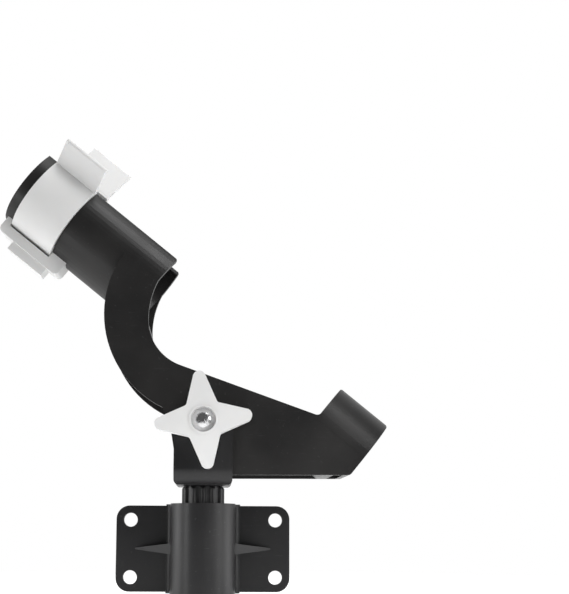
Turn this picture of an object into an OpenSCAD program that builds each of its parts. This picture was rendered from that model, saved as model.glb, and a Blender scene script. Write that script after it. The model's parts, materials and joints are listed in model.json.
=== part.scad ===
// Side-mounted rod holder: a base with a splined socket, a swivelling yoke, and a tilting arm
// that carries an open tube for the rod's fore grip and a closed cup for its butt.
// Frame: X along the base plate, Y into the wall, Z up. The origin is the middle of the face
// that lies on the wall. The arm is drawn in its own frame: X runs down the tube's axis from
// the ring's lower edge, Z is the side the tube opens to.

/* [Base] */
// Width of the mounting plate
plate_w = 100; // [90:0.2:130]
// Height of the mounting plate
plate_h = 49.2; // [46:0.2:64]
// Thickness of the mounting plate
plate_t = 5; // [4:0.5:8]
// Corner radius of the mounting plate
plate_r = 7.7; // [3:0.1:8]
// Distance between the mounting holes along the plate
hole_dx = 83.6; // [78:0.2:86]
// Distance between the mounting holes up the plate
hole_dz = 32.8; // [28:0.2:36]
// Diameter of the mounting holes
hole_d = 8; // [5:0.5:9]
// Outer diameter of the socket
socket_d = 36.7; // [34:0.1:42]
// How far the socket stands past the plate's edge, above and below
socket_proud = 0.8; // [0:0.1:3]
// Thickness of the socket's floor
socket_floor = 4; // [2:0.5:8]
// Diameter of the drain hole in the socket's floor
drain_d = 8; // [4:0.5:14]
// Radius of the blend between socket and plate
root_r = 3; // [1:0.5:5]
// Reach of each rib from the middle of the plate
rib_reach = 39; // [30:1:42]
// Thickness of the ribs where they meet the socket
rib_t = 6.5; // [4:0.5:8]
// Thickness of the ribs at their tips
rib_tip = 1; // [0.6:0.2:3]
// Distance from the wall to the post's axis
post_off = 22; // [20:0.5:32]

/* [Post] */
// Diameter over the post's splines
post_d = 24; // [20:0.2:26]
// Number of splines, so of swivel positions
spline_n = 12; // [8:1:18]
// Depth of the spline grooves
spline_depth = 1.6; // [0.8:0.1:2.4]
// Gap between the splines and the socket
spline_gap = 0.3; // [0.2:0.05:0.6]
// Size of the bevel around the socket's mouth
mouth_bevel = 1.2; // [0.5:0.1:2]
// Height of post that shows between socket and yoke
post_show = 9.9; // [6:0.1:20]
// Width across the flats of the key on top of the post
key_w = 15; // [12:0.5:16]
// Height of the key on top of the post
key_h = 1.2; // [0.8:0.1:2]
// Length of the slanted ends of the splines
post_lead = 3; // [1:0.5:6]

/* [Yoke] */
// Width of the yoke
yoke_w = 32.2; // [28:0.2:40]
// Thickness of the yoke's two cheeks
cheek_t = 5; // [4:0.5:8]
// Thickness of the bridge under the arm
bridge_t = 4; // [3.5:0.5:8]
// Outer corner radius under the cheeks
yoke_r = 9; // [6:0.5:12]
// Inner corner radius between the bridge and the cheeks
yoke_in_r = 0.8; // [0.5:0.1:1.2]
// Height of the pivot above the bridge's underside
pivot_up = 34.5; // [32:0.5:50]
// Radius of the cheeks' rounded tops
cheek_top_r = 17; // [16.5:0.5:22]
// How far the centre of that radius lies below the pivot
cheek_top_drop = 6; // [0:0.5:8]
// Thickness of the pad around the nut
nut_pad_t = 3; // [2:0.5:5]
// Diameter of the pad around the nut
nut_pad_d = 22; // [20:0.5:28]

/* [Tube] */
// Outer diameter of the tube, and width over the arm's plates
tube_d = 50.8; // [46:0.2:60]
// Wall of the tube, the plates and the cup
wall = 3; // [2.5:0.25:4]
// How far the arm's plates stand out past the tube
plate_proud = 0.3; // [0.2:0.1:1]
// Tilt of the tube's axis at rest
tilt = 39; // [30:1:45]
// Length of tube ahead of the ring
tube_ahead = 6.4; // [4:0.2:20]
// Half the angle of the tube's open slot
slot_half = 48.5; // [35:0.5:55]
// Radius of the slot's corners at the tube's rear end
slot_r = 1.5; // [1:0.5:4]
// Depth of the groove that the ring turns in
groove_depth = 1; // [0.6:0.1:1.4]

/* [Arm] */
// Distance from the ring's lower edge to the pivot along the tube's axis
pivot_back = 130.3; // [126:0.1:140]
// Distance of the pivot below the tube's axis
pivot_drop = 45.2; // [44:0.2:56]
// Distance from the ring's lower edge to the middle of the reel gap
gap_x = 91.2; // [88:0.2:96]
// Distance of the reel gap's middle below the tube's axis
gap_drop = 3.4; // [0:0.2:6]
// Radius of the reel gap
gap_r = 27.2; // [25:0.2:30]
// Radius of the gap's edge where it runs out to the tube's rear end
lip_r = 48; // [40:1:60]
// Turn of the gap's edge where that radius takes over
lip_turn = 40; // [30:1:45]
// Radius of the arm's outer bend around the reel gap
bend_r = 59; // [56:0.5:62]
// Distance of the bend's centre behind the reel gap's middle
bend_back = 3.1; // [0:0.1:5]
// Distance of the bend's centre above the reel gap's middle
bend_up = 7.4; // [5:0.1:10]
// Slope of the plates' top edge behind the reel gap, against the tube's axis
top_slope = 19.3; // [15:0.1:22]
// Droop of the tail's bottom edge at rest
tail_droop = 1.9; // [0:0.1:4]
// Gap between the tail's heel and the yoke's bridge
heel_gap = 1.25; // [0.6:0.05:3]
// How far the floor between the plates is set in from their edge
floor_inset = 1; // [0.5:0.1:2]
// Distance from the ring's lower edge to the cup's mouth
cup_x = 177.7; // [172:0.1:185]
// Length of the cup
cup_l = 33.8; // [28:0.1:45]
// How far the cup's middle lies below the tube's axis
cup_drop = 4.4; // [0:0.1:6]
// Radius of the cup's corners in side view
cup_r = 2.5; // [1:0.5:4]

/* [Ring] */
// Width of the locking ring
ring_w = 28.5; // [20:0.5:36]
// Wall of the locking ring
ring_t = 2.8; // [2.2:0.1:4]
// Angle from the slot's middle to the near tab
tab_near = 49; // [35:1:50]
// Angle from the slot's middle to the far tab
tab_far = 23; // [15:1:40]
// Height of the near tab above the ring
tab_near_h = 18.5; // [10:0.5:25]
// Height of the far tab above the ring
tab_far_h = 21; // [10:0.5:25]
// Thickness of the tabs
tab_t = 2.6; // [2:0.1:4]
// How much narrower the tabs are than the ring
tab_inset = 0.4; // [0:0.1:4]

/* [Keeper] */
// Length of the keeper in front of the ring
keeper_ahead = 4.2; // [3:0.1:6]
// Length of the keeper behind the ring
keeper_behind = 10.6; // [9:0.1:20]
// Distance from the tube's axis to the keeper's face
keeper_r = 33.2; // [31:0.1:36]
// Width of the keeper across the tube
keeper_w = 17; // [14:0.5:24]
// Length of the raised pad on the keeper
pad_l = 25; // [15:0.5:30]
// Height of the raised pad on the keeper
pad_h = 5.2; // [2:0.2:8]
// Width of the raised pad on the keeper
pad_w = 12; // [8:0.5:16]
// Distance between the two keeper screws
screw_gap = 9; // [8:0.5:10]

/* [Pivot] */
// Diameter of the pivot bolt
bolt_d = 8; // [6:1:8]
// Thickness of the friction washers
friction_t = 0.7; // [0.5:0.1:1]
// Diameter of the friction washers
friction_d = 26; // [20:1:28]
// Outer diameter of the sleeve between the plates
sleeve_d = 13; // [11:0.5:16]
// Radius over the tips of the star knob
star_r = 26.5; // [22:0.5:30]
// Thickness of the star knob
star_t = 9.2; // [8:0.2:12]
// Half width of each arm of the star at its tip
star_tip = 3.5; // [3:0.1:5]
// Half width of each arm of the star at its root
star_root = 8.5; // [8:0.1:10]
// Radius of the star's inner corners
star_fillet = 2; // [1:0.5:4]
// Turn of the star knob at rest
star_turn = 6; // [0:1:89]
// Diameter of the recess for the bolt's head
recess_d = 13.8; // [13.2:0.1:15]
// Depth of that recess
recess_depth = 3.4; // [3:0.1:4]

/* [Hidden] */

$fn = 96;
eps = 0.01;           // how far a cutting tool passes a face
run_gap = 0.06;       // radial gap of a running fit
free_gap = 0.3;       // gap between pieces that only pass each other
arc_step = 4;         // angle between the points of an arc

socket_top = plate_h / 2 + socket_proud;
yoke_z = socket_top + post_show;         // underside of the bridge
pivot_z = yoke_z + pivot_up;
floor_z = yoke_z + bridge_t;             // top of the bridge
tube_r = tube_d / 2;
bore_r = tube_r - wall;
gap = [gap_x, -gap_drop];                // middle of the reel gap
lip = gap + (lip_r - gap_r) * [cos(lip_turn), sin(lip_turn)];
tube_behind = lip[0] - sqrt(lip_r * lip_r - lip[1] * lip[1]);
bend = gap + [bend_back, bend_up];       // centre of the outer bend
plate_out = tube_r + plate_proud;        // outer faces of the arm's plates
plate_in = plate_out - wall;
cheek_in = plate_out + friction_t + 0.1; // inner faces of the cheeks, from the arm's middle
cheek_out = cheek_in + cheek_t;
heel_r = pivot_z - floor_z - heel_gap;   // the tail's heel clears the bridge as the arm tilts
bolt_hole_r = bolt_d / 2 + run_gap;

groove_r = tube_r - groove_depth;
ring_in = groove_r + run_gap;
ring_out = ring_in + ring_t;
cup_end = cup_x + cup_l;
pivot = [pivot_back, -pivot_drop];
rise = tilt - tail_droop;                // slope of the tail's bottom edge in the arm's frame
heel = pivot + heel_r * [cos(rise - 90), sin(rise - 90)];
tail_z = heel[1] + (cup_end - heel[0]) * tan(rise);
ramp_l = (tail_z + wall + bore_r) / tan(rise);
tube_top = -ring_w - tube_ahead;

nut_w = 1.625 * bolt_d;                  // across flats
nut_t = 0.8 * bolt_d;
nut_seat = 3;                            // cheek left under the nut
washer_t = 1.6;
washer_d = 2 * bolt_d + 4;
star_back = cheek_out + washer_t;        // from the arm's middle, towards the user
star_front = star_back + star_t;
star_rim = 0.6;                          // height of the rim around the recess
star_rim_w = 0.8;                        // width of that rim
head_r = recess_d / 2 - 0.5;
head_h = 2.6;
neck_l = 3;                              // square neck under the bolt's head
bolt_end = cheek_out + nut_pad_t + 3;

screw_r = 3;                             // post screw
screw_head_r = 5.6;
screw_l = 24;
keeper_screw_r = 1.75;
keeper_head_r = 3;
keeper_screw_l = 7.5;
keeper_foot = keeper_behind / 2 + free_gap;  // place of the keeper screws behind the ring

// Points on an arc about c, from angle a to angle b
function arc(c, r, a, b) =
    let(n = max(1, ceil(abs(b - a) / arc_step)))
    [for (i = [0:n]) c + r * [cos(a + (b - a) * i / n), sin(a + (b - a) * i / n)]];

// Moves the children to the post's axis
module at_post() translate([0, -post_off, 0]) children();

// Moves the children to the pivot, between the cheeks
module at_pivot() translate([0, -post_off, pivot_z]) children();

// Turns the children into the arm's frame
module in_arm()
    at_pivot() rotate([0, tilt, 0]) translate([-pivot_back, 0, pivot_drop]) children();

// Extrudes an X-Z outline from y = a to y = b
module across(a, b) translate([0, b, 0]) rotate([90, 0, 0]) linear_extrude(b - a) children();

// Extrudes a Y-Z outline from x = a to x = b
module along(a, b) translate([a, 0, 0]) rotate([90, 0, 90]) linear_extrude(b - a) children();

// A cylinder along Y from a to b
module rod_y(r, a, b) translate([0, b, 0]) rotate([90, 0, 0]) cylinder(r = r, h = b - a);

// ---- base ----

module rounded_plate(w, h, r)
    union() {
        square([w - 2 * r, h], center = true);
        square([w, h - 2 * r], center = true);
        for (x = [-1, 1], z = [-1, 1]) translate([x * (w / 2 - r), z * (h / 2 - r)]) circle(r);
    }

// Outline of the splines, grown by g: a ring of pointed ridges
module spline_outline(g)
    polygon([for (i = [0:2 * spline_n - 1])
        let(r = post_d / 2 + g - (i % 2) * spline_depth, a = i * 180 / spline_n)
        r * [sin(a), cos(a)]]);

// Plan of the socket: round in front, straight sides back to the plate, blended at the root
module socket_plan() {
    w = socket_d / 2;
    translate([0, -post_off]) circle(w);
    translate([-w, -post_off]) square([2 * w, post_off - plate_t + eps]);
    for (s = [-1, 1])
        difference() {
            translate([s * (w + root_r / 2 - eps), -plate_t - root_r / 2 + eps])
                square(root_r, center = true);
            translate([s * (w + root_r), -plate_t - root_r]) circle(root_r);
        }
}

// The two ribs: triangles in plan that taper to their tips in front view
module ribs() {
    root = socket_d / 2 * 0.9;
    intersection() {
        translate([0, 0, -rib_t]) linear_extrude(2 * rib_t) for (s = [-1, 1])
            polygon([[s * root * 0.7, -plate_t + eps], [s * rib_reach, -plate_t + eps],
                [s * root, -post_off]]);
        across(-post_off - 1, 1) for (s = [-1, 1])
            polygon([[0, -rib_t / 2], [s * root, -rib_t / 2], [s * rib_reach, -rib_tip / 2],
                [s * rib_reach, rib_tip / 2], [s * root, rib_t / 2], [0, rib_t / 2]]);
    }
}

module base_plate() color([0.08, 0.08, 0.09]) {
    difference() {
        union() {
            across(-plate_t, 0) rounded_plate(plate_w, plate_h, plate_r);
            translate([0, 0, -socket_top]) linear_extrude(2 * socket_top) socket_plan();
            ribs();
        }
        for (x = [-1, 1], z = [-1, 1])
            translate([x * hole_dx / 2, 0, z * hole_dz / 2])
                rod_y(hole_d / 2, -plate_t - 1, 1);
        at_post() translate([0, 0, -socket_top + socket_floor])
            linear_extrude(2 * socket_top) spline_outline(spline_gap);
        at_post() translate([0, 0, socket_top - mouth_bevel])
            cylinder(r1 = post_d / 2, r2 = post_d / 2 + mouth_bevel + eps, h = mouth_bevel + eps);
        at_post() translate([0, 0, -socket_top - 1]) cylinder(d = drain_d, h = socket_floor + 2);
    }
}

// ---- post ----

module spline_post() color([0.08, 0.08, 0.09]) at_post() {
    foot = -socket_top + socket_floor + free_gap;
    core_r = post_d / 2 - spline_depth;
    difference() {
        union() {
            intersection() {
                translate([0, 0, foot]) linear_extrude(yoke_z - foot) spline_outline(0);
                rotate_extrude() polygon([[0, foot], [core_r - 0.5, foot],
                    [post_d / 2 + 1, foot + post_lead], [post_d / 2 + 1, yoke_z - post_lead * 0.6],
                    [core_r + 0.4, yoke_z], [0, yoke_z]]);
            }
            translate([0, 0, yoke_z - eps]) linear_extrude(key_h + eps)
                square(key_w, center = true);
        }
        translate([0, 0, floor_z - screw_l]) cylinder(r = screw_r, h = screw_l);
    }
}

module post_screw() color([0.7, 0.7, 0.72]) at_post() {
    translate([0, 0, floor_z - screw_l]) cylinder(r = screw_r, h = screw_l - bridge_t / 4);
    translate([0, 0, floor_z]) mirror([0, 0, 1]) difference() {
        cylinder(r1 = screw_head_r, r2 = screw_r, h = screw_head_r - screw_r);
        translate([0, 0, -eps]) cylinder(r = 2, h = 1.6, $fn = 6);
    }
}

// ---- yoke ----

// Front view of the cheeks
module cheek_outline() {
    half = yoke_w / 2;
    low_r = 2.5;
    top_z = pivot_z - cheek_top_drop;
    side = acos(half / cheek_top_r);
    polygon(concat(
        arc([half - low_r, yoke_z + low_r], low_r, -90, 0),
        arc([0, top_z], cheek_top_r, side, 180 - side),
        arc([low_r - half, yoke_z + low_r], low_r, 180, 270)));
}

// Side view: a U that the arm stands in
module yoke_section() {
    top = pivot_z + cheek_top_r;
    difference() {
        polygon(concat(
            arc([cheek_out - yoke_r, yoke_z + yoke_r], yoke_r, -90, 0),
            [[cheek_out, top], [-cheek_out, top]],
            arc([yoke_r - cheek_out, yoke_z + yoke_r], yoke_r, 180, 270)));
        polygon(concat(
            arc([cheek_in - yoke_in_r, floor_z + yoke_in_r], yoke_in_r, -90, 0),
            [[cheek_in, top + 1], [-cheek_in, top + 1]],
            arc([yoke_in_r - cheek_in, floor_z + yoke_in_r], yoke_in_r, 180, 270)));
    }
}

module yoke() color([0.08, 0.08, 0.09]) difference() {
    union() {
        at_post() intersection() {
            across(-cheek_out - 1, cheek_out + 1) cheek_outline();
            along(-yoke_w, yoke_w) yoke_section();
        }
        at_pivot() rod_y(nut_pad_d / 2, cheek_out - eps, cheek_out + nut_pad_t);
    }
    at_pivot() rod_y(bolt_hole_r, -cheek_out - 1, cheek_out + nut_pad_t + 1);
    at_pivot() translate([0, cheek_in + nut_seat, 0]) rotate([-90, 0, 0])
        cylinder(d = (nut_w + 0.1) / cos(30), h = cheek_t + nut_pad_t, $fn = 6);
    at_post() translate([0, 0, yoke_z - 1]) linear_extrude(key_h + 1) square(key_w, center = true);
    at_post() translate([0, 0, yoke_z - 1]) cylinder(r = screw_r, h = bridge_t + 2);
    at_post() translate([0, 0, floor_z]) mirror([0, 0, 1])
        cylinder(r1 = screw_head_r, r2 = screw_r, h = screw_head_r - screw_r);
}

// ---- arm ----

// Outline of the arm's two plates: a bend around the reel gap, then the tail
module plate_outline() {
    gap_end = 270 + top_slope;
    edge = gap + gap_r * [cos(gap_end), sin(gap_end)];
    top_z = edge[1] + (cup_x - edge[0]) * tan(top_slope);
    notch_r = 3.5;
    notch = [cup_x - notch_r, top_z + notch_r * (1 - sin(top_slope)) / cos(top_slope)];
    neck = pivot + 18.5 * [cos(tilt + 192), sin(tilt + 192)];
    corner_r = 2.5;
    tail = [cup_end - corner_r, tail_z + corner_r * (1 + sin(rise)) / cos(rise)];
    polygon(concat(
        arc(bend, bend_r, 180 + asin(bend[1] / bend_r), 283),
        [neck],
        arc(pivot, heel_r, rise - 118, rise - 90),
        arc(tail, corner_r, rise - 90, 0),
        [[cup_end, -cup_drop], [cup_x, -cup_drop]],
        arc(notch, notch_r, 0, top_slope - 90),
        arc(gap, gap_r, gap_end, 180 + lip_turn),
        arc(lip, lip_r, 180 + lip_turn, 180 + asin(lip[1] / lip_r))));
}

// Side view of the floor between the plates, from under the tube to the butt stop
module floor_outline() {
    in_r = gap_r + floor_inset;
    low = asin((tube_r - gap_drop) / in_r);
    gap_end = 270 + top_slope;
    edge = gap + in_r * [cos(gap_end), sin(gap_end)];
    edge_low = gap + (in_r + wall) * [cos(gap_end), sin(gap_end)];
    front = [gap_x - in_r * cos(low), -tube_r];
    polygon(concat(
        [front + [0, wall], [tube_behind - wall, wall - tube_r], [tube_behind - wall, -tube_r],
            front - [wall, 0]],
        arc(gap, in_r + wall, 180 + low, gap_end),
        [edge_low, [cup_end, -tube_r], [cup_end, tail_z + wall], [cup_end - ramp_l, -bore_r], edge],
        arc(gap, in_r, gap_end, 180 + low)));
}

module circle_at(c, r) translate(c) circle(r);

// End view of the tube's open slot, as a wedge
module slot_wedge(half, reach)
    polygon([[0, 0], reach * [-tan(half), 1], reach * [tan(half), 1]]);

// What is cut away to round a corner that points to +X and +Y
module corner_cut(c, r) polygon(concat([c + [r + 1, 0], c + [r + 1, r + 1], c + [0, r + 1]],
    arc(c, r, 90, 0)));

// The butt cup: a half tube over the tail's end, closed by a wall
module cup() {
    top = tube_r - cup_drop;
    difference() {
        union() {
            along(cup_x, cup_end) difference() {
                circle_at([0, -cup_drop], tube_r);
                circle_at([0, -cup_drop], bore_r);
                translate([-tube_d, -cup_drop - tube_d - 1]) square([2 * tube_d, tube_d]);
            }
            intersection() {
                along(cup_end - wall, cup_end) union() {
                    circle_at([0, -cup_drop], tube_r - wall / 2);
                    translate([-tube_r + wall / 2, -cup_drop - tube_d])
                        square([tube_d - wall, tube_d]);
                }
                across(-tube_d, tube_d) union() {
                    plate_outline();
                    translate([cup_end - wall, -cup_drop - eps]) square([wall, tube_d]);
                }
            }
        }
        across(-tube_d, tube_d) corner_cut([cup_end - cup_r, top - cup_r], cup_r);
        across(-tube_d, tube_d) translate([cup_x, 0]) mirror([1, 0])
            corner_cut([-cup_r, top - cup_r], cup_r);
    }
}

module arm() color([0.10, 0.10, 0.11]) in_arm() difference() {
    slot_z = tube_r * cos(slot_half);
    union() {
        along(tube_top, tube_behind) difference() {
            circle(tube_r);
            circle(bore_r);
            slot_wedge(slot_half, tube_d);
        }
        across(plate_in, plate_out) plate_outline();
        across(-plate_out, -plate_in) plate_outline();
        across(-plate_in - eps, plate_in + eps) intersection() {
            plate_outline();
            floor_outline();
        }
        cup();
    }
    across(-tube_d, tube_d) corner_cut([tube_behind - slot_r, slot_z - slot_r], slot_r);
    along(-ring_w - free_gap, free_gap) difference() {
        circle(tube_r + 1);
        circle(groove_r);
    }
    translate([pivot_back, 0, -pivot_drop]) rod_y(bolt_hole_r, -plate_out - 1, plate_out + 1);
    keeper_holes();
}

// Clearance holes and countersinks for the keeper's two screws
module keeper_holes() for (s = [-1, 1])
    translate([keeper_foot, s * screw_gap / 2, -bore_r]) mirror([0, 0, 1]) {
        translate([0, 0, -1]) cylinder(r = keeper_screw_r, h = keeper_screw_l + 1);
        translate([0, 0, -1]) cylinder(r = keeper_head_r, h = 1);
        cylinder(r1 = keeper_head_r, r2 = keeper_screw_r, h = keeper_head_r - keeper_screw_r);
    }

// ---- ring and keeper ----

// One tab of the ring: a radial fin at an angle from the slot's middle, rounded at its tip
module tab_outline(angle, h) rotate(angle) {
    translate([-tab_t / 2, ring_in + ring_t / 2]) square([tab_t, h + ring_t / 2 - tab_t / 2]);
    translate([0, ring_out + h - tab_t / 2]) circle(tab_t / 2);
}

module locking_ring() color([0.93, 0.93, 0.92]) in_arm() {
    gap_half = (tab_near + tab_far) / 2;
    turn = (tab_near - tab_far) / 2;
    along(-ring_w, 0) difference() {
        circle(ring_out);
        circle(ring_in);
        rotate(turn) slot_wedge(gap_half, tube_d);
    }
    edge = atan(tab_t / 2 / ring_out);
    along(-ring_w + tab_inset / 2, -tab_inset / 2) difference() {
        union() {
            tab_outline(tab_near + edge, tab_near_h);
            tab_outline(-tab_far - edge, tab_far_h);
        }
        circle(ring_in);
    }
}

module ring_keeper() color([0.93, 0.93, 0.92]) in_arm() difference() {
    end_r = 3;
    union() {
        across(-keeper_w / 2, keeper_w / 2) polygon(concat(
            [[-ring_w - keeper_ahead, -tube_r * 0.9]],
            arc([-ring_w - keeper_ahead + end_r, -keeper_r + end_r], end_r, 180, 270),
            arc([keeper_behind - end_r, -keeper_r + end_r], end_r, 270, 360),
            [[keeper_behind, -tube_r * 0.9]]));
        translate([-ring_w / 2 - pad_l / 2 + 5, -pad_w / 2, -keeper_r - pad_h])
            cube([pad_l, pad_w, pad_h + 1]);
    }
    along(-tube_d, tube_d) circle(tube_r);
    along(-ring_w - free_gap, free_gap) translate([-tube_d, -ring_out - free_gap])
        square(2 * tube_d);
    keeper_holes();
}

module keeper_screws() color([0.7, 0.7, 0.72]) in_arm() for (s = [-1, 1])
    translate([keeper_foot, s * screw_gap / 2, -bore_r]) mirror([0, 0, 1]) {
        cylinder(r = keeper_screw_r, h = keeper_screw_l);
        difference() {
            cylinder(r1 = keeper_head_r, r2 = keeper_screw_r, h = keeper_head_r - keeper_screw_r);
            translate([0, 0, -eps]) cylinder(r = 1, h = 0.9, $fn = 6);
        }
    }

// ---- pivot hardware ----

module friction_washers() color([0.25, 0.22, 0.2]) at_pivot() for (s = [-1, 1])
    difference() {
        rod_y(friction_d / 2, s * (cheek_in - friction_t / 2) - friction_t / 2,
            s * (cheek_in - friction_t / 2) + friction_t / 2);
        rod_y(bolt_hole_r + 0.1, -cheek_out, cheek_out);
    }

module pivot_sleeve() color([0.6, 0.6, 0.62]) at_pivot() difference() {
    rod_y(sleeve_d / 2, -plate_in, plate_in);
    rod_y(bolt_hole_r, -plate_in - 1, plate_in + 1);
}

module knob_washer() color([0.7, 0.7, 0.72]) at_pivot() difference() {
    rod_y(washer_d / 2, -star_back, -cheek_out);
    rod_y(bolt_hole_r, -star_back - 1, 0);
}

// Turns a point about the origin
function turned(p, a) = [p[0] * cos(a) - p[1] * sin(a), p[0] * sin(a) + p[1] * cos(a)];

// Four tapered arms with round tips and filleted inner corners
module star_outline() {
    tip = [0, star_r - star_tip];
    side = [star_root, star_root] - tip;
    lean = acos(star_tip / norm(side)) + atan2(side[1], side[0]);
    corner = (star_root + star_fillet / sin(45 + lean) / sqrt(2)) * [1, 1];
    polygon([for (a = [0:90:270])
        for (p = concat(arc(corner, star_fillet, 270 - lean, 180 + lean),
            arc(tip, star_tip, lean, 180 - lean)))
            turned(p, a + star_turn)]);
}

module bolt_neck(g) translate([0, -star_front + recess_depth + neck_l / 2, 0])
    cube([bolt_d + 2 * g, neck_l, bolt_d + 2 * g], center = true);

module star_knob() color([0.93, 0.93, 0.92]) at_pivot() difference() {
    union() {
        across(-star_front, -star_back) star_outline();
        rod_y(recess_d / 2 + star_rim_w, -star_front - star_rim, -star_back);
    }
    rod_y(recess_d / 2, -star_front - star_rim - 1, -star_front + recess_depth);
    rod_y(bolt_d / 2, -star_front, -star_back + 1);
    rotate([0, -star_turn, 0]) bolt_neck(0);
}

module pivot_bolt() color([0.8, 0.8, 0.82]) at_pivot() {
    seat = -star_front + recess_depth;
    dome_r = (head_r * head_r + head_h * head_h) / (2 * head_h);
    rod_y(bolt_d / 2, seat, bolt_end);
    rotate([0, -star_turn, 0]) bolt_neck(0);
    intersection() {
        translate([0, seat - head_h + dome_r, 0]) sphere(dome_r);
        rod_y(head_r, seat - head_h - 1, seat);
    }
}

module pivot_nut() color([0.7, 0.7, 0.72]) at_pivot() difference() {
    translate([0, cheek_in + nut_seat, 0]) rotate([-90, 0, 0])
        cylinder(d = nut_w / cos(30), h = nut_t, $fn = 6);
    rod_y(bolt_hole_r, 0, cheek_out + 2 * nut_t);
}

base_plate();
spline_post();
post_screw();
yoke();
friction_washers();
arm();
pivot_sleeve();
pivot_bolt();
knob_washer();
star_knob();
pivot_nut();
locking_ring();
ring_keeper();
keeper_screws();
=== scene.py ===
import json
import math

import bmesh
import bpy
from mathutils import Matrix, Vector


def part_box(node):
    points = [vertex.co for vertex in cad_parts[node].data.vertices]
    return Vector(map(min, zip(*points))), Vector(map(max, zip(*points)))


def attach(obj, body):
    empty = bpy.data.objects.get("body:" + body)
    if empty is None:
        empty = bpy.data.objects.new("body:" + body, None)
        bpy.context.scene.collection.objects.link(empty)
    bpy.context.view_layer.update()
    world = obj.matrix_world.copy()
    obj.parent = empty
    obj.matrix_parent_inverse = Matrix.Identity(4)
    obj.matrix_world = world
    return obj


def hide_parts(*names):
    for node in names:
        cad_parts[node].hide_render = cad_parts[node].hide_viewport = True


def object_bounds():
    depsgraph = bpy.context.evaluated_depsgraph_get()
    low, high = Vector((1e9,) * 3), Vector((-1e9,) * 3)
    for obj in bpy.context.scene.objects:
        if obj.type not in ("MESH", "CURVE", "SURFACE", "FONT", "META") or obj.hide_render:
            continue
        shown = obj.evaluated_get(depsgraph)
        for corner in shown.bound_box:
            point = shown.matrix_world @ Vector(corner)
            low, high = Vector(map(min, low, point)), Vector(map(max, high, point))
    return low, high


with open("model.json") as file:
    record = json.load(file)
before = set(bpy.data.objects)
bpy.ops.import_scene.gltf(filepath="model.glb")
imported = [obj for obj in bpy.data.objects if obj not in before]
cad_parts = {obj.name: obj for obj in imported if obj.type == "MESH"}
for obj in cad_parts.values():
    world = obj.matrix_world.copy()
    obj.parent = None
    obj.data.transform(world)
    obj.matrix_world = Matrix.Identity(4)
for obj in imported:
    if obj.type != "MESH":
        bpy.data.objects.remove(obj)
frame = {"nodes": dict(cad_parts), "record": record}
cad_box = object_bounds()
MM = 0.001

# ---- camera ----
# Level with the base and a little right of the post, tilted up at the arm, with a small lens shift
# that keeps the near and far plates of the arm apart as a close viewer sees them.
eye = Vector((6.0, -759.2, 8.1)) * MM
yaw, pitch, roll = math.radians(1.77), math.radians(7.84), math.radians(-0.27)
camera_data = bpy.data.cameras.new("camera")
camera_data.sensor_fit = "HORIZONTAL"
camera_data.sensor_width = 36.0
camera_data.lens = 81.7
camera_data.shift_x = 0.0527
camera_data.shift_y = 0.1054
camera_data.clip_start = 0.05
camera = bpy.data.objects.new("camera", camera_data)
bpy.context.scene.collection.objects.link(camera)
bpy.context.scene.camera = camera
aimed = Matrix.Rotation(-yaw, 4, "Z") @ Matrix.Rotation(math.pi / 2 + pitch, 4, "X")
camera.matrix_world = Matrix.Translation(eye) @ aimed @ Matrix.Rotation(-roll, 4, "Z")

# ---- studio ----
# A white cove: the paper behind shows white and is bright enough to rim the black mouldings, while
# the room in front of them is dim, so their faces stay dark and the soft boxes shape them.
bpy.context.scene.view_settings.view_transform = "Standard"
world = bpy.data.worlds.new("white_cove")
bpy.context.scene.world = world
world.use_nodes = True
room = world.node_tree
room_light = room.nodes["Background"]
room_light.inputs["Color"].default_value = (1.0, 1.0, 1.0, 1.0)
front_glow, back_glow = 0.12, 0.75
towards = room.nodes.new("ShaderNodeTexCoord")
parts = room.nodes.new("ShaderNodeSeparateXYZ")
glow = room.nodes.new("ShaderNodeMapRange")
for limit, value in (
        ("From Min", -0.1), ("From Max", 0.45), ("To Min", front_glow), ("To Max", back_glow)):
    glow.inputs[limit].default_value = value
room.links.new(towards.outputs["Generated"], parts.inputs["Vector"])
room.links.new(parts.outputs["Y"], glow.inputs["Value"])
room.links.new(glow.outputs["Result"], room_light.inputs["Strength"])
backdrop = room.nodes.new("ShaderNodeBackground")
backdrop.inputs["Color"].default_value = (1.0, 1.0, 1.0, 1.0)
ray_kind = room.nodes.new("ShaderNodeLightPath")
either = room.nodes.new("ShaderNodeMixShader")
room.links.new(ray_kind.outputs["Is Camera Ray"], either.inputs["Fac"])
room.links.new(room_light.outputs["Background"], either.inputs[1])
room.links.new(backdrop.outputs["Background"], either.inputs[2])
room.links.new(either.outputs["Shader"], room.nodes["World Output"].inputs["Surface"])

floor_gap = 0.4 * MM
floor_z = cad_box[0].z - floor_gap
floor_half = 0.6
fade_start, fade_end = 0.12, 0.45
floor_mesh = bpy.data.meshes.new("floor")
floor_mesh.from_pydata(
    [(x * floor_half, y * floor_half, floor_z) for x, y in ((-1, -1), (1, -1), (1, 1), (-1, 1))],
    [], [(0, 1, 2, 3)])
floor = bpy.data.objects.new("floor", floor_mesh)
bpy.context.scene.collection.objects.link(floor)
paper = bpy.data.materials.new("white_paper")
paper.use_nodes = True
paper_shader = paper.node_tree.nodes["Principled BSDF"]
paper_shader.inputs["Base Color"].default_value = (0.9, 0.9, 0.9, 1)
paper_shader.inputs["Roughness"].default_value = 1.0
paper_shader.inputs["Specular IOR Level"].default_value = 0.0
paper_shader.inputs["Emission Color"].default_value = (1.0, 1.0, 1.0, 1.0)
paper_shader.inputs["Emission Strength"].default_value = 0.75
here = paper.node_tree.nodes.new("ShaderNodeTexCoord")
distance = paper.node_tree.nodes.new("ShaderNodeVectorMath")
distance.operation = "LENGTH"
fade = paper.node_tree.nodes.new("ShaderNodeMapRange")
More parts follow.
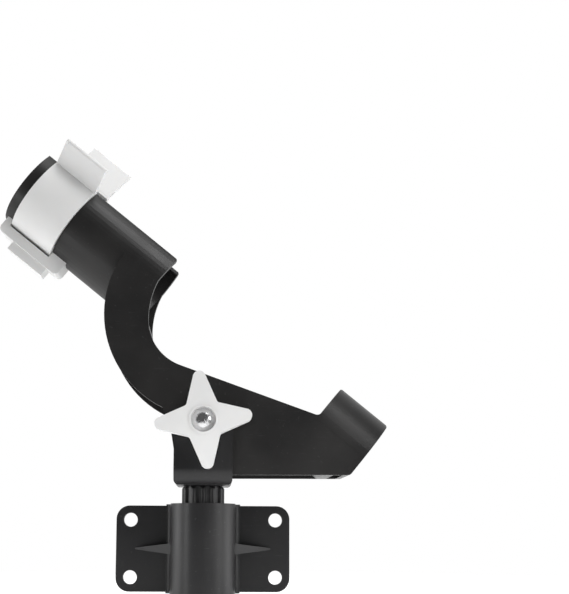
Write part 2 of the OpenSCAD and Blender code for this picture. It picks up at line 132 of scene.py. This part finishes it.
for limit, value in (("From Min", fade_start), ("From Max", fade_end), ("To Min", 1.0), ("To Max", 0.0)):
    fade.inputs[limit].default_value = value
paper.node_tree.links.new(here.outputs["Object"], distance.inputs[0])
paper.node_tree.links.new(distance.outputs["Value"], fade.inputs["Value"])
paper.node_tree.links.new(fade.outputs["Result"], paper_shader.inputs["Alpha"])
floor_mesh.materials.append(paper)


def soft_box(name, aim, azimuth, elevation, distance, size, watts):
    """A soft box aimed at a point. Azimuth 0 is in front of it, and turns towards +X."""
    turn, rise = math.radians(azimuth), math.radians(elevation)
    away = Vector((math.sin(turn) * math.cos(rise), -math.cos(turn) * math.cos(rise), math.sin(rise)))
    data = bpy.data.lights.new(name, "AREA")
    data.shape = "RECTANGLE"
    data.size, data.size_y = size
    data.energy = watts
    light = bpy.data.objects.new(name, data)
    bpy.context.scene.collection.objects.link(light)
    facing = away.to_track_quat("Z", "Y").to_matrix().to_4x4()
    light.matrix_world = Matrix.Translation(Vector(aim) * MM + away * distance) @ facing


middle = (0.0, -22.0, 90.0)
tail = (75.0, -50.0, 60.0)
soft_box("key", middle, 38, 48, 1.1, (0.4, 0.4), 3.6)
soft_box("left_side", middle, -96, 0, 1.0, (0.5, 0.7), 3.5)
soft_box("right_side", middle, 96, 0, 1.0, (0.5, 0.7), 3.5)
soft_box("left_strip", middle, -60, -2, 1.0, (0.16, 0.8), 2.8)
soft_box("right_strip", middle, 62, 4, 1.0, (0.16, 0.8), 2.4)
soft_box("low_front", middle, 22, -10, 1.2, (0.08, 0.5), 0.35)
soft_box("tail_fill", tail, 44, 14, 0.42, (0.1, 0.16), 0.35)
soft_box("overhead", middle, 0, 76, 1.0, (0.9, 0.5), 3.2)
soft_box("back", middle, 180, 40, 1.2, (0.8, 0.6), 2.5)


# ---- base ----
# The wall plate, its socket and two gusset ribs are one injection moulding of glass-filled nylon:
# satin black, with the mould's faint orange peel, slow changes of sheen where the melt flowed, fine
# scuffs from handling, and edges rubbed a little greyer and painted paler still, as a painted highlight
# along the rounded edges. Four bolts would go through its holes.
def shader(name):
    material = bpy.data.materials.new(name)
    material.use_nodes = True
    tree = material.node_tree
    return material, tree, tree.nodes["Principled BSDF"]


def noise(tree, scale, detail, roughness=0.5, stretch=(1, 1, 1), turn=(0, 0, 0)):
    coordinates = tree.nodes.new("ShaderNodeTexCoord")
    mapping = tree.nodes.new("ShaderNodeMapping")
    mapping.inputs["Scale"].default_value = stretch
    mapping.inputs["Rotation"].default_value = turn
    texture = tree.nodes.new("ShaderNodeTexNoise")
    tree.links.new(coordinates.outputs["Object"], mapping.inputs["Vector"])
    tree.links.new(mapping.outputs["Vector"], texture.inputs["Vector"])
    texture.inputs["Scale"].default_value = scale
    texture.inputs["Detail"].default_value = detail
    texture.inputs["Roughness"].default_value = roughness
    return texture.outputs["Fac"]


def spread(tree, factor, low, high, start=0.3, end=0.7):
    """Maps a factor between start and end to low and high, held at both ends."""
    ramp = tree.nodes.new("ShaderNodeMapRange")
    tree.links.new(factor, ramp.inputs["Value"])
    ramp.inputs["From Min"].default_value = start
    ramp.inputs["From Max"].default_value = end
    ramp.inputs["To Min"].default_value = low
    ramp.inputs["To Max"].default_value = high
    return ramp.outputs["Result"]


def mixed(tree, factor, low, high):
    mix = tree.nodes.new("ShaderNodeMix")
    mix.data_type = "RGBA"
    tree.links.new(factor, mix.inputs["Factor"])
    for socket, value in ((mix.inputs[6], low), (mix.inputs[7], high)):
        if isinstance(value, tuple):
            socket.default_value = (*value, 1.0)
        else:
            tree.links.new(value, socket)
    return mix.outputs[2]


def summed(tree, first, second):
    add = tree.nodes.new("ShaderNodeMath")
    add.operation = "ADD"
    tree.links.new(first, add.inputs[0])
    tree.links.new(second, add.inputs[1])
    return add.outputs["Value"]


def bumped(tree, principled, height, distance, strength):
    bump = tree.nodes.new("ShaderNodeBump")
    bump.inputs["Strength"].default_value = strength
    bump.inputs["Distance"].default_value = distance
    tree.links.new(height, bump.inputs["Height"])
    tree.links.new(bump.outputs["Normal"], principled.inputs["Normal"])


def moulded_black(name, dark, pale, rough_low, rough_high):
    """Black nylon between two tones, with paler specks and scuffs."""
    scuffed = (0.05, 0.05, 0.051)
    material, tree, principled = shader(name)
    flow = noise(tree, 24, 3)
    peel = noise(tree, 1300, 3, 0.6)
    specks = spread(tree, noise(tree, 620, 2), 0, 0.55, 0.68, 0.76)
    scuffs = spread(tree, noise(tree, 90, 4, 0.6, (1, 9, 14), (0.4, 0.9, 0.3)), 0, 0.35, 0.64, 0.74)
    body = mixed(tree, spread(tree, flow, 0, 1), dark, pale)
    worn = mixed(tree, summed(tree, specks, scuffs), body, scuffed)
    tree.links.new(worn, principled.inputs["Base Color"])
    tree.links.new(
        summed(tree, spread(tree, flow, rough_low, rough_high), spread(tree, scuffs, 0, 0.12, 0, 0.35)),
        principled.inputs["Roughness"])
    principled.inputs["Specular IOR Level"].default_value = 0.36
    bumped(tree, principled, peel, 0.03 * MM, 0.3)
    return material


def rounded_copy(node, name, width, segments=3, edged=False):
    """A copy of a CAD node with its triangles merged and its edges rounded like a moulding's."""
    mesh = frame["nodes"][node].data.copy()
    build = bmesh.new()
    build.from_mesh(mesh)
    bmesh.ops.remove_doubles(build, verts=build.verts, dist=0.002 * MM)
    bmesh.ops.dissolve_limit(
        build, angle_limit=math.radians(0.6), verts=build.verts, edges=build.edges)
    build.to_mesh(mesh)
    build.free()
    mesh.materials.clear()
    for _ in range(2 if edged else 1):
        mesh.materials.append(None)
    return rounded(linked(mesh, name), width, segments, edged)


def linked(mesh, name):
    mesh.name = name
    piece = bpy.data.objects.new(name, mesh)
    bpy.context.scene.collection.objects.link(piece)
    return piece


def rounded(piece, width, segments=3, edged=False, angle=24, crease=12):
    """Rounds a piece's edges, and shades its flat faces flat and its round ones round.
    The rounded edges of an edged piece take its second material."""
    piece.data.shade_smooth()
    piece.data.set_sharp_from_angle(angle=math.radians(crease))
    bevel = piece.modifiers.new("rounding", "BEVEL")
    bevel.width = width * MM
    bevel.segments = segments
    bevel.limit_method = "ANGLE"
    bevel.angle_limit = math.radians(angle)
    bevel.use_clamp_overlap = True
    # The bevel faces of an edged piece take the second material, the pale edge material that is mostly a
    # painted highlight.
    bevel.material = 1 if edged else 0
    bevel.miter_outer = "MITER_ARC"
    normals = piece.modifiers.new("normals", "WEIGHTED_NORMAL")
    normals.mode = "FACE_AREA"
    normals.weight = 50
    normals.keep_sharp = True
    applied(piece)
    return piece


def applied(piece):
    evaluated = piece.evaluated_get(bpy.context.evaluated_depsgraph_get())
    mesh = bpy.data.meshes.new_from_object(evaluated)
    mesh.name = piece.name
    piece.modifiers.clear()
    piece.data = mesh


def assembled(piece, material, body, slot, *nodes, edge=None):
    """Gives a piece its materials and its body, and hides the CAD nodes it stands for."""
    while len(piece.data.materials) < (2 if edge else 1):
        piece.data.materials.append(material)
    piece.data.materials[0] = material
    if edge:
        piece.data.materials[1] = edge
    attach(piece, body)
    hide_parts(*nodes)


black = moulded_black(
    "satin_black_nylon", (0.010, 0.010, 0.011), (0.016, 0.0155, 0.016), 0.32, 0.46)
# The rounded edges' material is much paler than the body: a little of that is rubbed wear, most of it is
# a painted highlight standing in for the light lines that rounded edges catch.
worn_edge_with_painted_highlight = moulded_black(
    "worn_black_edge_painted_highlight", (0.15, 0.15, 0.151), (0.26, 0.26, 0.262), 0.22, 0.32)
base = rounded_copy("base_plate", "base_moulding", 0.8, edged=True)
assembled(base, black, "base", "black_plastic", "base_plate", edge=worn_edge_with_painted_highlight)

# ---- post ----
# A fluted nylon post: twelve ridges drop into the socket's flutes, so the holder is lifted out
# and dropped back in to face another way. A raised square key on top stops it turning in the yoke.
joints = {joint["name"]: joint for joint in frame["record"]["behaviour"]["joints"]}
post_axis = Vector(joints["post_swivel"]["pos_m"])
post_low, post_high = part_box("spline_post")
key_height = 1.2 * MM
ridge_outer, ridge_inner = 12.0 * MM, 10.45 * MM
ridge_count = 12
shoulder_z = post_high.z - key_height
screw_hole_r = 3.0 * MM


def node_tree(name, sizes):
    """A geometry tree with its named inputs. Returns the tree and its input and output nodes."""
    tree = bpy.data.node_groups.new(name, "GeometryNodeTree")
    tree.interface.new_socket("Geometry", in_out="INPUT", socket_type="NodeSocketGeometry")
    tree.interface.new_socket("Geometry", in_out="OUTPUT", socket_type="NodeSocketGeometry")
    for size, kind in sizes.items():
        tree.interface.new_socket(size, in_out="INPUT", socket_type="NodeSocket" + kind)
    return tree, tree.nodes.new("NodeGroupInput"), tree.nodes.new("NodeGroupOutput")


def finished_tree(tree, geometry, given, result):
    """Ends a tree with its instances made real and its material set."""
    real = tree.nodes.new("GeometryNodeRealizeInstances")
    coat = tree.nodes.new("GeometryNodeSetMaterial")
    tree.links.new(geometry, real.inputs["Geometry"])
    tree.links.new(real.outputs["Geometry"], coat.inputs["Geometry"])
    tree.links.new(given.outputs["Material"], coat.inputs["Material"])
    tree.links.new(coat.outputs["Geometry"], result.inputs["Geometry"])


def grown(piece, tree, values):
    """Runs a geometry tree on a piece with the values given by name."""
    modifier = piece.modifiers.new(tree.name, "NODES")
    modifier.node_group = tree
    for socket in tree.interface.items_tree:
        if socket.in_out == "INPUT" and socket.name in values:
            modifier[socket.identifier] = values[socket.name]
    piece.update_tag()
    applied(piece)


def turned_copies(name):
    """A tree that repeats the piece's own mesh in a circle about the upright line through Axis."""
    tree, given, result = node_tree(
        name, {"Count": "Int", "Axis": "Vector", "Material": "Material"})
    points = tree.nodes.new("GeometryNodePoints")
    copies = tree.nodes.new("GeometryNodeInstanceOnPoints")
    index = tree.nodes.new("GeometryNodeInputIndex")
    share = tree.nodes.new("ShaderNodeMath")
    share.operation = "DIVIDE"
    turn = tree.nodes.new("ShaderNodeMath")
    turn.operation = "MULTIPLY"
    turn.inputs[1].default_value = 2 * math.pi
    about = tree.nodes.new("ShaderNodeCombineXYZ")
    rotation = tree.nodes.new("FunctionNodeEulerToRotation")
    tree.links.new(given.outputs["Count"], points.inputs["Count"])
    tree.links.new(given.outputs["Axis"], points.inputs["Position"])
    tree.links.new(index.outputs["Index"], share.inputs[0])
    tree.links.new(given.outputs["Count"], share.inputs[1])
    tree.links.new(share.outputs["Value"], turn.inputs[0])
    tree.links.new(turn.outputs["Value"], about.inputs["Z"])
    tree.links.new(about.outputs["Vector"], rotation.inputs["Euler"])
    tree.links.new(points.outputs["Points"], copies.inputs["Points"])
    tree.links.new(given.outputs["Geometry"], copies.inputs["Instance"])
    tree.links.new(rotation.outputs["Rotation"], copies.inputs["Rotation"])
    finished_tree(tree, copies.outputs["Instances"], given, result)
    return tree


def ridge_wedge():
    """A twelfth of the post: a slice from the screw hole to one ridge, its ends slanted back."""
    half = math.pi / ridge_count
    flank, crest = 0.62 * half, 0.22 * half
    lead, slant = 1.5 * MM, 2.6 * MM
    foot_step, crown_step = 0.5 * MM, 0.25 * MM
    levels = (
        (post_low.z, ridge_inner - foot_step), (post_low.z + slant, ridge_outer),
        (shoulder_z - lead, ridge_outer), (shoulder_z, ridge_inner + crown_step))
    build = bmesh.new()
    rings = []
    for z, reach in levels:
        outline = [
            (-half, ridge_inner), (-flank, ridge_inner), (-crest, max(reach, ridge_inner)),
            (crest, max(reach, ridge_inner)), (flank, ridge_inner), (half, ridge_inner)]
        if reach < ridge_inner:
            outline = [(angle, reach) for angle, _ in outline]
        inner = [(half, screw_hole_r), (-half, screw_hole_r)]
        rings.append([
            build.verts.new((r * math.sin(a), -r * math.cos(a), z)) for a, r in outline + inner])
    for low, high in zip(rings, rings[1:]):
        for i in range(5):
            build.faces.new((low[i], low[i + 1], high[i + 1], high[i]))
        build.faces.new((low[6], low[7], high[7], high[6]))
    build.faces.new(reversed(rings[0]))
    build.faces.new(rings[-1])
    mesh = bpy.data.meshes.new("ridge")
    build.to_mesh(mesh)
    build.free()
    return mesh


def welded(piece):
    """Joins the vertices where a piece's copies meet, and points its faces outwards."""
    distance = 0.004 * MM
    build = bmesh.new()
    build.from_mesh(piece.data)
    bmesh.ops.remove_doubles(build, verts=build.verts, dist=distance)
    bmesh.ops.recalc_face_normals(build, faces=build.faces)
    build.to_mesh(piece.data)
    build.free()


post = linked(ridge_wedge(), "post_moulding")
grown(post, turned_copies("ridges_round_post"), {
    "Count": ridge_count, "Axis": (post_axis.x, post_axis.y, 0.0), "Material": black})
welded(post)
rounded(post, 0.35, 2, angle=14, crease=40)

key_half, key_sunk = 7.5 * MM, 0.2 * MM
key_centre = Matrix.Translation(
    (post_axis.x, post_axis.y, shoulder_z + (key_height - key_sunk) / 2))
key_size = Matrix.Diagonal((2 * key_half, 2 * key_half, key_height + key_sunk, 1.0))
key_mesh = bpy.data.meshes.new("key")
key_build = bmesh.new()
bmesh.ops.create_cube(key_build, size=1.0, matrix=key_centre @ key_size)
key_build.to_mesh(key_mesh)
key_build.free()
key = rounded(linked(key_mesh, "post_key"), 0.2, 2)
for piece in (post, key):
    assembled(piece, black, "swivel", "black_plastic", "spline_post")

# ---- yoke ----
# A U-shaped nylon moulding that holds the arm between two cheeks. The far cheek has a raised pad
# with a hexagonal pocket for the nut, and a countersunk screw holds the yoke down on the post.
yoke = rounded_copy("yoke", "yoke_moulding", 1.0, 4, edged=True)
assembled(yoke, black, "swivel", "black_plastic", "yoke", edge=worn_edge_with_painted_highlight)

# ---- arm ----
# One moulding: an open tube for the rod's fore grip, two plates that bend around the reel gap and
# run back to the pivot and tail, and a half-tube cup that stops the rod's butt. A little greyer.
arm_black = moulded_black(
    "satin_black_arm", (0.012, 0.0118, 0.012), (0.021, 0.020, 0.0195), 0.30, 0.44)
arm = rounded_copy("arm", "arm_moulding", 0.8, edged=True)
assembled(arm, arm_black, "holder", "arm_plastic", "arm", edge=worn_edge_with_painted_highlight)

# ---- friction washers ----
# Two dark rings of rubber-bound fibre, squeezed between the yoke's cheeks and the arm.
fibre, fibre_tree, fibre_shader = shader("pressed_fibre")
strands = noise(fibre_tree, 700, 5, 0.8)
fibre_tree.links.new(
    mixed(fibre_tree, spread(fibre_tree, strands, 0, 1), (0.035, 0.03, 0.026), (0.09, 0.08, 0.07)),
    fibre_shader.inputs["Base Color"])
fibre_shader.inputs["Roughness"].default_value = 0.85
bumped(fibre_tree, fibre_shader, strands, 0.1 * MM, 0.6)
washers = rounded_copy("friction_washers", "friction_rings", 0.1, 2)
assembled(washers, fibre, "swivel", "fibre", "friction_washers")


# ---- locking ring ----
# A white nylon C-ring in the tube's groove: turned by its two tabs, it closes the slot over the rod.
# The plastic is smooth and slightly translucent, with the faintest cloud and mould grain.
def moulded_white(name):
    material, tree, principled = shader(name)
    cloud = noise(tree, 30, 3)
    grain = noise(tree, 1100, 2, 0.5)
    dust = spread(tree, noise(tree, 480, 2), 0, 0.35, 0.7, 0.8)
    clean = mixed(tree, spread(tree, cloud, 0, 1), (0.75, 0.75, 0.745), (0.80, 0.80, 0.795))
    tree.links.new(mixed(tree, dust, clean, (0.66, 0.65, 0.63)), principled.inputs["Base Color"])
    tree.links.new(spread(tree, cloud, 0.38, 0.5), principled.inputs["Roughness"])
    principled.inputs["Subsurface Weight"].default_value = 0.12
    principled.inputs["Subsurface Radius"].default_value = (1.5 * MM, 1.3 * MM, 1.1 * MM)
    bumped(tree, principled, grain, 0.04 * MM, 0.35)
    return material


white = moulded_white("white_nylon")
ring = rounded_copy("locking_ring", "ring_moulding", 0.7)
assembled(ring, white, "ring", "white_plastic", "locking_ring")

# ---- keeper ----
# A white nylon guide under the tube that the ring runs through, screwed on from inside the tube.
keeper = rounded_copy("ring_keeper", "keeper_moulding", 0.9, 4)
assembled(keeper, white, "holder", "white_plastic", "ring_keeper")


# ---- screws ----
# Plain stainless countersunk screws with hexagon sockets: one large one down through the yoke into
# the post, and two small ones through the tube's wall into the keeper.
def stainless(name, tint, rough_low, rough_high, scale, depth=0.03):
    material, tree, principled = shader(name)
    marks = noise(tree, scale, 4, 0.7)
    principled.inputs["Metallic"].default_value = 1.0
    colour = mixed(tree, spread(tree, marks, 0, 1), tuple(0.8 * c for c in tint), tint)
    tree.links.new(colour, principled.inputs["Base Color"])
    tree.links.new(spread(tree, marks, rough_low, rough_high), principled.inputs["Roughness"])
    bumped(tree, principled, marks, depth * MM, 0.4)
    return material


plain_steel = stainless("plain_steel", (0.60, 0.60, 0.61), 0.25, 0.42, 900)
for node, body, size in (("post_screw", "swivel", 0.15), ("keeper_screws", "holder", 0.1)):
    screw = rounded_copy(node, node + "_steel", size, 2)
    assembled(screw, plain_steel, body, "stainless", node)

# ---- star knob ----
# A four-armed white nylon knob, with a thin raised rim around the recess for the bolt's head.
star = rounded_copy("star_knob", "star_moulding", 1.2, 4)
assembled(star, white, "knob", "white_plastic", "star_knob")

# ---- pivot bolt, washer, sleeve and nut ----
# A polished carriage bolt turns with the star knob: its square neck sits in the knob, it passes a
# washer, both cheeks and the sleeve, and its thread draws on the nut in the far cheek's pocket.
polished = stainless("polished_steel", (0.80, 0.80, 0.81), 0.03, 0.1, 260, 0.9)
bolt = rounded_copy("pivot_bolt", "bolt", 0.25, 2)
assembled(bolt, polished, "knob", "bright_bolt", "pivot_bolt")
for node, body, size in (
        ("knob_washer", "knob", 0.15), ("pivot_sleeve", "holder", 0.2), ("pivot_nut", "swivel", 0.3)):
    fitting = rounded_copy(node, node + "_steel", size, 2)
    assembled(fitting, plain_steel, body, "stainless", node)
